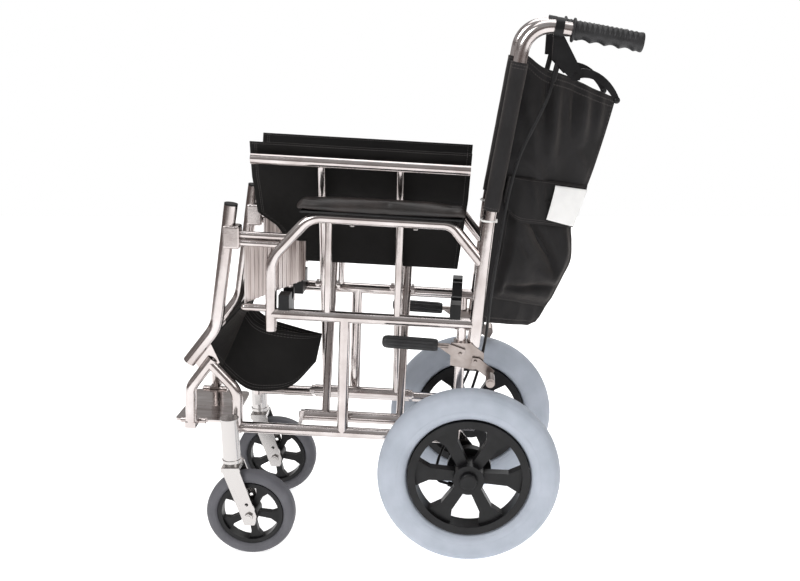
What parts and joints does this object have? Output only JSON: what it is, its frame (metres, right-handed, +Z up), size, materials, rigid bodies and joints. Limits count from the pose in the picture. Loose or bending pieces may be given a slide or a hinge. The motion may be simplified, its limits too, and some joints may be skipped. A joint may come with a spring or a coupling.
{
  "type": "wheelchair",
  "caption": "Folding attendant wheelchair stored folded: cross-braced tubular side frames, hanging fabric seat and back, spoked wheels, casters, arm rests, push handles with brake levers",
  "frame": {"origin": "middle of the bounding box's base, on the floor", "axes": "+X the sitter's left, -Y the front, +Z up"},
  "size_m": [0.348, 0.7898, 0.9072],
  "materials": {
    "frame_metal": "polished",
    "panel_metal": "satin",
    "plate_metal": "bright, edges dark",
    "bright_steel": "bright plated",
    "black_plastic": "satin",
    "wheel_plastic": "semi-gloss",
    "hub_black": "satin",
    "grip_rubber": "satin, ribbed",
    "grey_tyre": "matt",
    "upholstery": "woven nylon",
    "pad_vinyl": "crowned, satin"
  },
  "bodies": {
    "left_frame": {"side_frame_left": "frame_metal", "front_frame_left": "frame_metal", "arm_tube_left": "frame_metal", "arm_pad_left": "pad_vinyl", "back_cane_left": "frame_metal", "end_fittings_left": "black_plastic", "back_sleeve_left": "upholstery", "strap_loop_left": "upholstery", "handle_grip_left": "grip_rubber", "brake_clamp_left": "black_plastic", "brake_cable_left": "black_plastic", "park_bracket_left": "bright_steel", "guard_panel_left": "panel_metal", "caster_housing_left": "bright_steel", "rear_hub_left": "hub_black"},
    "right_frame": {"side_frame_right": "frame_metal", "front_frame_right": "frame_metal", "arm_tube_right": "frame_metal", "arm_pad_right": "pad_vinyl", "back_cane_right": "frame_metal", "end_fittings_right": "black_plastic", "back_sleeve_right": "upholstery", "strap_loop_right": "upholstery", "handle_grip_right": "grip_rubber", "brake_clamp_right": "black_plastic", "brake_cable_right": "black_plastic", "park_bracket_right": "bright_steel", "guard_panel_right": "panel_metal", "caster_housing_right": "bright_steel", "rear_hub_right": "hub_black"},
    "brace_a": {"brace_a": "frame_metal"},
    "brace_b": {"brace_b": "frame_metal"},
    "seat_left": {"seat_half_left": "upholstery"},
    "seat_right": {"seat_half_right": "upholstery"},
    "back_left": {"back_panel_left": "upholstery"},
    "back_right": {"back_panel_right": "upholstery"},
    "strap_left": {"calf_strap_left": "upholstery"},
    "strap_right": {"calf_strap_right": "upholstery"},
    "caster_fork_left": {"caster_fork_left": "bright_steel", "caster_axle_left": "bright_steel"},
    "caster_fork_right": {"caster_fork_right": "bright_steel", "caster_axle_right": "bright_steel"},
    "caster_wheel_left": {"caster_rim_left": "wheel_plastic", "caster_tyre_left": "grey_tyre"},
    "caster_wheel_right": {"caster_rim_right": "wheel_plastic", "caster_tyre_right": "grey_tyre"},
    "rear_wheel_left": {"rear_rim_left": "wheel_plastic", "rear_tyre_left": "grey_tyre"},
    "rear_wheel_right": {"rear_rim_right": "wheel_plastic", "rear_tyre_right": "grey_tyre"},
    "park_lever_left": {"park_lever_left": "bright_steel", "park_grip_left": "grip_rubber"},
    "park_lever_right": {"park_lever_right": "bright_steel", "park_grip_right": "grip_rubber"},
    "park_shoe_left": {"park_shoe_left": "bright_steel"},
    "park_shoe_right": {"park_shoe_right": "bright_steel"},
    "hand_lever_left": {"hand_lever_left": "black_plastic"},
    "hand_lever_right": {"hand_lever_right": "black_plastic"},
    "foot_plate_left": {"foot_plate_left": "plate_metal"},
    "foot_plate_right": {"foot_plate_right": "plate_metal"}
  },
  "joints": [
    {"name": "fold", "type": "hinge", "parent": "left_frame", "child": "brace_a", "pos_m": [0.061, -0.08312, 0.2267], "axis": [0, -0.9983, 0.0576], "range_deg": [0, 46.33]},
    {"name": "brace_cross", "type": "hinge", "parent": "brace_a", "child": "brace_b", "pos_m": [0, -0.07029, 0.44914], "axis": [0, -0.9983, 0.0576], "range_deg": [-92.7, 0]},
    {"name": "right_foot", "type": "hinge", "parent": "brace_b", "child": "right_frame", "pos_m": [-0.061, -0.08312, 0.2267], "axis": [0, -0.9983, 0.0576], "range_deg": [0, 46.4]},
    {"name": "seat_left", "type": "hinge", "parent": "brace_b", "child": "seat_left", "pos_m": [0.061, -0.05746, 0.67159], "axis": [0, -0.9983, 0.0576], "range_deg": [-25.5, 0]},
    {"name": "seat_right", "type": "hinge", "parent": "brace_a", "child": "seat_right", "pos_m": [-0.061, -0.05746, 0.67159], "axis": [0, -0.9983, 0.0576], "range_deg": [0, 25.5]},
    {"name": "back_left", "type": "hinge", "parent": "left_frame", "child": "back_left", "pos_m": [0.058, 0.15183, 0.58377], "axis": [0, 0.1848, 0.9828], "range_deg": [0, 69.3]},
    {"name": "back_right", "type": "hinge", "parent": "right_frame", "child": "back_right", "pos_m": [-0.058, 0.15183, 0.58377], "axis": [0, 0.1848, 0.9828], "range_deg": [-69.3, 0]},
    {"name": "strap_left", "type": "hinge", "parent": "left_frame", "child": "strap_left", "pos_m": [0.022, -0.25074, 0.42909], "axis": [0, 0.729, 0.6845], "range_deg": [0, 78.4]},
    {"name": "strap_right", "type": "hinge", "parent": "right_frame", "child": "strap_right", "pos_m": [-0.022, -0.25074, 0.42909], "axis": [0, 0.729, 0.6845], "range_deg": [-78.4, 0]},
    {"name": "caster_swivel_left", "type": "hinge", "parent": "left_frame", "child": "caster_fork_left", "pos_m": [0.119, -0.28791, 0.2], "axis": [0, 0, 1], "continuous": true},
    {"name": "caster_spin_left", "type": "hinge", "parent": "caster_fork_left", "child": "caster_wheel_left", "pos_m": [0.119, -0.25991, 0.076], "axis": [1, 0, 0], "continuous": true},
    {"name": "rear_spin_left", "type": "hinge", "parent": "left_frame", "child": "rear_wheel_left", "pos_m": [0.142, 0.11809, 0.155], "axis": [1, 0, 0], "continuous": true},
    {"name": "park_lever_left", "type": "hinge", "parent": "left_frame", "child": "park_lever_left", "pos_m": [0.109, 0.10388, 0.36016], "axis": [1, 0, 0], "range_deg": [0, 26]},
    {"name": "park_shoe_left", "type": "hinge", "parent": "left_frame", "child": "park_shoe_left", "pos_m": [0.109, 0.12914, 0.34668], "axis": [1, 0, 0], "range_deg": [-26.1, 0]},
    {"name": "hand_lever_left", "type": "hinge", "parent": "left_frame", "child": "hand_lever_left", "pos_m": [0.092, 0.28756, 0.81834], "axis": [1, 0, 0], "range_deg": [0, 20], "stiffness_Nm_per_rad": 0.4, "springref_deg": -8.59},
    {"name": "foot_plate_left", "type": "hinge", "parent": "left_frame", "child": "foot_plate_left", "pos_m": [0.0765, -0.36052, 0.22767], "axis": [0, 0.9983, -0.0576], "range_deg": [0, 88]},
    {"name": "caster_swivel_right", "type": "hinge", "parent": "right_frame", "child": "caster_fork_right", "pos_m": [-0.119, -0.28791, 0.2], "axis": [0, 0, 1], "continuous": true},
    {"name": "caster_spin_right", "type": "hinge", "parent": "caster_fork_right", "child": "caster_wheel_right", "pos_m": [-0.119, -0.25991, 0.076], "axis": [1, 0, 0], "continuous": true},
    {"name": "rear_spin_right", "type": "hinge", "parent": "right_frame", "child": "rear_wheel_right", "pos_m": [-0.142, 0.11809, 0.155], "axis": [1, 0, 0], "continuous": true},
    {"name": "park_lever_right", "type": "hinge", "parent": "right_frame", "child": "park_lever_right", "pos_m": [-0.109, 0.10388, 0.36016], "axis": [1, 0, 0], "range_deg": [0, 26]},
    {"name": "park_shoe_right", "type": "hinge", "parent": "right_frame", "child": "park_shoe_right", "pos_m": [-0.109, 0.12914, 0.34668], "axis": [1, 0, 0], "range_deg": [-26.1, 0]},
    {"name": "hand_lever_right", "type": "hinge", "parent": "right_frame", "child": "hand_lever_right", "pos_m": [-0.092, 0.28756, 0.81834], "axis": [1, 0, 0], "range_deg": [0, 20], "stiffness_Nm_per_rad": 0.4, "springref_deg": -8.59},
    {"name": "foot_plate_right", "type": "hinge", "parent": "right_frame", "child": "foot_plate_right", "pos_m": [-0.0765, -0.36052, 0.22767], "axis": [0, -0.9983, 0.0576], "range_deg": [0, 88]}
  ],
  "couplings": [
    {"joint": "brace_cross", "follows": "fold", "ratio": -2},
    {"joint": "right_foot", "follows": "fold", "ratio": 1},
    {"joint": "seat_left", "follows": "fold", "ratio": -0.54746},
    {"joint": "seat_right", "follows": "fold", "ratio": 0.54746},
    {"joint": "back_left", "follows": "fold", "ratio": 1.4935},
    {"joint": "back_right", "follows": "fold", "ratio": -1.4935},
    {"joint": "strap_left", "follows": "fold", "ratio": 1.6904},
    {"joint": "strap_right", "follows": "fold", "ratio": -1.6904},
    {"joint": "park_shoe_left", "follows": "park_lever_left", "ratio": -1},
    {"joint": "park_shoe_right", "follows": "park_lever_right", "ratio": -1}
  ]
}
